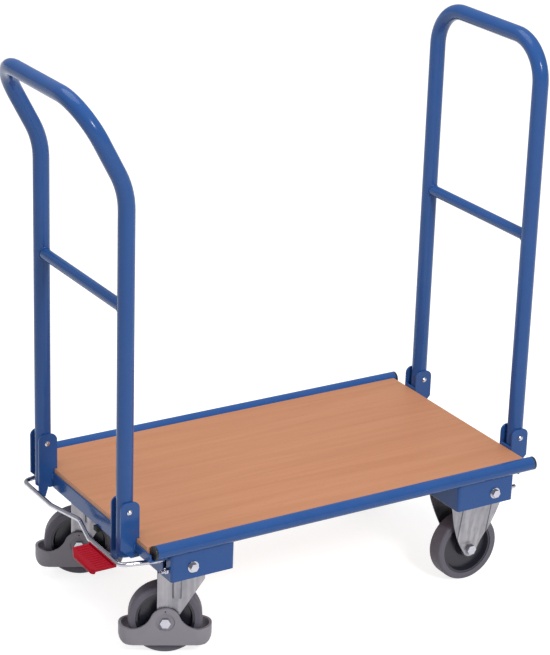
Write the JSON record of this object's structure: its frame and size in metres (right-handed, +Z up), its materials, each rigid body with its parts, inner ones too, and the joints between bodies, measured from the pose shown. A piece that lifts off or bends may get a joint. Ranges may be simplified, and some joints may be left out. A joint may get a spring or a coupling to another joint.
{
  "type": "folding platform trolley",
  "caption": "Platform trolley with a wood deck in a tube frame, folding push and front handles, fixed and swivel castors, and a foot-pedal brake bail.",
  "frame": {"origin": "on the floor, below the middle of the trolley's overall box", "axes": "+X from the push handle to the front handle, +Y across the deck, +Z up"},
  "size_m": [0.8934, 0.464, 0.984],
  "materials": {
    "blue_paint": "satin powder coat",
    "wood_board": "beech decor, satin",
    "zinc_steel": "bright zinc plate",
    "grey_tread": "smooth grey rubber",
    "dark_plastic": "moulded",
    "grey_plastic": "moulded",
    "black_plastic": "moulded",
    "black_rubber": "moulded",
    "red_plastic": "moulded"
  },
  "bodies": {
    "chassis": {"box_bolts": "zinc_steel", "box_nuts": "zinc_steel", "corner_angles": "blue_paint", "deck_board": "wood_board", "fixed_axle_nuts": "zinc_steel", "fixed_axles": "zinc_steel", "fixed_fork_a": "zinc_steel", "fixed_fork_b": "zinc_steel", "front_box_a": "blue_paint", "front_box_b": "blue_paint", "front_bracket_a": "blue_paint", "front_bracket_b": "blue_paint", "front_end_rail": "blue_paint", "king_pins": "zinc_steel", "pivot_bolts": "zinc_steel", "pivot_nuts": "zinc_steel", "plate_bolts": "zinc_steel", "plate_nuts": "zinc_steel", "push_box_a": "blue_paint", "push_box_b": "blue_paint", "push_bracket_a": "blue_paint", "push_bracket_b": "blue_paint", "push_end_rail": "blue_paint", "rail_caps": "black_plastic", "side_rail_a": "blue_paint", "side_rail_b": "blue_paint", "stop_block": "black_rubber", "swivel_plate_a": "zinc_steel", "swivel_plate_b": "zinc_steel"},
    "push_handle": {"push_tube": "blue_paint", "push_crossbar": "blue_paint"},
    "front_handle": {"front_tube": "blue_paint", "front_crossbar": "blue_paint"},
    "brake_bail": {"bail_rod": "zinc_steel", "pedal": "red_plastic", "brake_cams": "zinc_steel"},
    "brake_plunger_a": {"plunger_a": "zinc_steel"},
    "swivel_castor_a": {"swivel_fork_a": "zinc_steel", "foot_guard_a": "grey_plastic", "swivel_axle_a": "zinc_steel", "swivel_axle_nut_a": "zinc_steel"},
    "swivel_wheel_a": {"swivel_wheel_a_tread": "grey_tread", "swivel_wheel_a_core": "dark_plastic"},
    "fixed_wheel_a": {"fixed_wheel_a_tread": "grey_tread", "fixed_wheel_a_core": "dark_plastic"},
    "brake_plunger_b": {"plunger_b": "zinc_steel"},
    "swivel_castor_b": {"swivel_fork_b": "zinc_steel", "foot_guard_b": "grey_plastic", "swivel_axle_b": "zinc_steel", "swivel_axle_nut_b": "zinc_steel"},
    "swivel_wheel_b": {"swivel_wheel_b_tread": "grey_tread", "swivel_wheel_b_core": "dark_plastic"},
    "fixed_wheel_b": {"fixed_wheel_b_tread": "grey_tread", "fixed_wheel_b_core": "dark_plastic"}
  },
  "joints": [
    {"name": "push_handle_fold", "type": "hinge", "parent": "chassis", "child": "push_handle", "pos_m": [-0.35527, 0, 0.281], "axis": [0, 1, 0], "range_deg": [0, 90]},
    {"name": "front_handle_fold", "type": "hinge", "parent": "chassis", "child": "front_handle", "pos_m": [0.43073, 0, 0.252], "axis": [0, -1, 0], "range_deg": [0, 90]},
    {"name": "brake_press", "type": "hinge", "parent": "chassis", "child": "brake_bail", "pos_m": [-0.22627, 0, 0.196], "axis": [0, -1, 0], "range_deg": [0, 10]},
    {"name": "plunger_slide_a", "type": "slide", "parent": "chassis", "child": "brake_plunger_a", "axis": [0, 0, -1], "range_m": [0, 0.00332]},
    {"name": "castor_swivel_a", "type": "hinge", "parent": "chassis", "child": "swivel_castor_a", "pos_m": [-0.24527, -0.16, 0.1], "axis": [0, 0, 1], "continuous": true},
    {"name": "swivel_wheel_spin_a", "type": "hinge", "parent": "swivel_castor_a", "child": "swivel_wheel_a", "pos_m": [-0.27352, -0.14498, 0.0625], "axis": [0.4695, 0.8829, 0], "continuous": true},
    {"name": "fixed_wheel_spin_a", "type": "hinge", "parent": "chassis", "child": "fixed_wheel_a", "pos_m": [0.32473, -0.16, 0.0625], "axis": [0, 1, 0], "continuous": true},
    {"name": "plunger_slide_b", "type": "slide", "parent": "chassis", "child": "brake_plunger_b", "axis": [0, 0, -1], "range_m": [0, 0.00332]},
    {"name": "castor_swivel_b", "type": "hinge", "parent": "chassis", "child": "swivel_castor_b", "pos_m": [-0.24527, 0.16, 0.1], "axis": [0, 0, 1], "continuous": true},
    {"name": "swivel_wheel_spin_b", "type": "hinge", "parent": "swivel_castor_b", "child": "swivel_wheel_b", "pos_m": [-0.27352, 0.17502, 0.0625], "axis": [0.4695, 0.8829, 0], "continuous": true},
    {"name": "fixed_wheel_spin_b", "type": "hinge", "parent": "chassis", "child": "fixed_wheel_b", "pos_m": [0.32473, 0.16, 0.0625], "axis": [0, 1, 0], "continuous": true}
  ],
  "couplings": [
    {"joint": "plunger_slide_a", "follows": "brake_press", "m_per_rad": 0.019},
    {"joint": "plunger_slide_b", "follows": "brake_press", "m_per_rad": 0.019}
  ]
}
